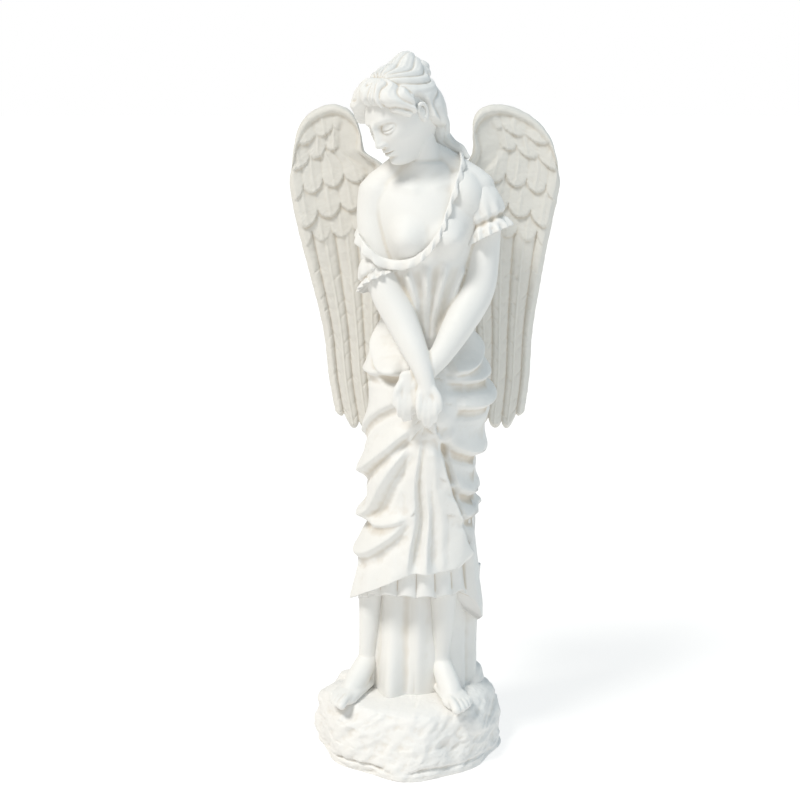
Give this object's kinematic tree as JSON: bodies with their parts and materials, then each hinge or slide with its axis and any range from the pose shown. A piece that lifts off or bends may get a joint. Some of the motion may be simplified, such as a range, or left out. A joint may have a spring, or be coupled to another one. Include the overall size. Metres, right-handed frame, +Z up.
{
  "type": "angel statue",
  "caption": "Standing robed angel with folded tall wings, head bowed to its right, hands joined over gathered cloth, barefoot on a rough rock base.",
  "frame": {"origin": "middle of the flat underside of the rock", "axes": "+Z up along the figure's height; the figure faces -Y; its left hand and left wing are towards +X"},
  "size_m": [0.4258, 0.2538, 1.1026],
  "materials": {
    "white_cast": "matte"
  },
  "bodies": {
    "root": {"angel_statue": "white_cast"}
  },
  "joints": []
}
